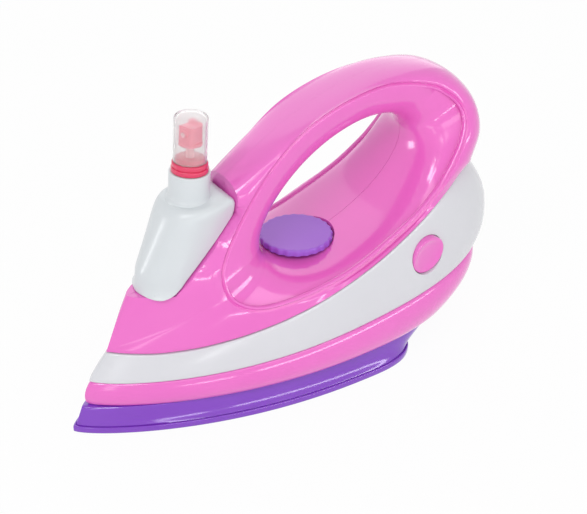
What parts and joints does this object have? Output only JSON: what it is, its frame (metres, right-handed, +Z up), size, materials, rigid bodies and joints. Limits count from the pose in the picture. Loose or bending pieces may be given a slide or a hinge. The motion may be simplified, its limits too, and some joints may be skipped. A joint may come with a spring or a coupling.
{
  "type": "toy iron",
  "caption": "Hollow moulded toy iron with a closed hand opening, a flanged sole, a nose tank with a small pump sprayer and clear overcap, a turning dial and a push button on each side.",
  "frame": {"origin": "middle of the sole's flat face", "axes": "nose points to -X, heel to +X, +Z up from the sole, the side with the screw heads is +Y"},
  "size_m": [0.1984, 0.074, 0.1246],
  "materials": {
    "pink": "gloss",
    "white": "gloss",
    "tank_white": "satin",
    "purple": "gloss",
    "dial_purple": "satin",
    "red": "translucent gloss",
    "clear": "clear, lightly frosted",
    "gasket": "matte",
    "steel": "plain"
  },
  "bodies": {
    "iron": {"sole_plate": "purple", "lower_casing": "pink", "middle_casing": "white", "upper_shell_left": "pink", "upper_shell_right": "pink", "spray_tank": "tank_white", "click_leaf": "steel", "button_guide_left": "white", "button_guide_right": "white", "button_spring_left": "steel", "button_spring_right": "steel", "shell_screws": "steel", "casing_screws": "steel", "sole_screws": "steel"},
    "dial_unit": {"dial": "dial_purple", "click_wheel": "white", "dial_washer": "steel", "dial_screw": "steel"},
    "pump_unit": {"pump_closure": "red", "neck_gasket": "gasket", "pump_barrel": "white", "pump_spring": "steel", "valve_ball": "steel", "dip_tube": "clear"},
    "spray_head": {"spray_actuator": "red", "nozzle_insert": "white", "pump_piston": "white"},
    "cap": {"overcap": "clear"},
    "button_left": {"side_button_left": "pink"},
    "button_right": {"side_button_right": "pink"}
  },
  "joints": [
    {"name": "dial_turn", "type": "hinge", "parent": "iron", "child": "dial_unit", "pos_m": [0.02977, 0, 0.0557], "axis": [0, 0, 1], "continuous": true},
    {"name": "pump_lift", "type": "slide", "parent": "iron", "child": "pump_unit", "axis": [0.0785, 0, 0.9969], "range_m": [0, 0.085]},
    {"name": "spray_press", "type": "slide", "parent": "pump_unit", "child": "spray_head", "axis": [-0.0785, 0, -0.9969], "range_m": [0, 0.0034], "stiffness_N_per_m": 300, "springref_m": -0.003, "deforming": ["pump_spring"]},
    {"name": "cap_lift", "type": "slide", "parent": "pump_unit", "child": "cap", "axis": [0.0785, 0, 0.9969], "range_m": [0, 0.03]},
    {"name": "button_left_press", "type": "slide", "parent": "iron", "child": "button_left", "axis": [-0.0869, 0.9931, 0.0785], "range_m": [0, 0.0015], "stiffness_N_per_m": 150, "springref_m": -0.003, "deforming": ["button_spring_left"]},
    {"name": "button_right_press", "type": "slide", "parent": "iron", "child": "button_right", "axis": [-0.0869, -0.9931, 0.0785], "range_m": [0, 0.0015], "stiffness_N_per_m": 150, "springref_m": -0.003, "deforming": ["button_spring_right"]}
  ]
}
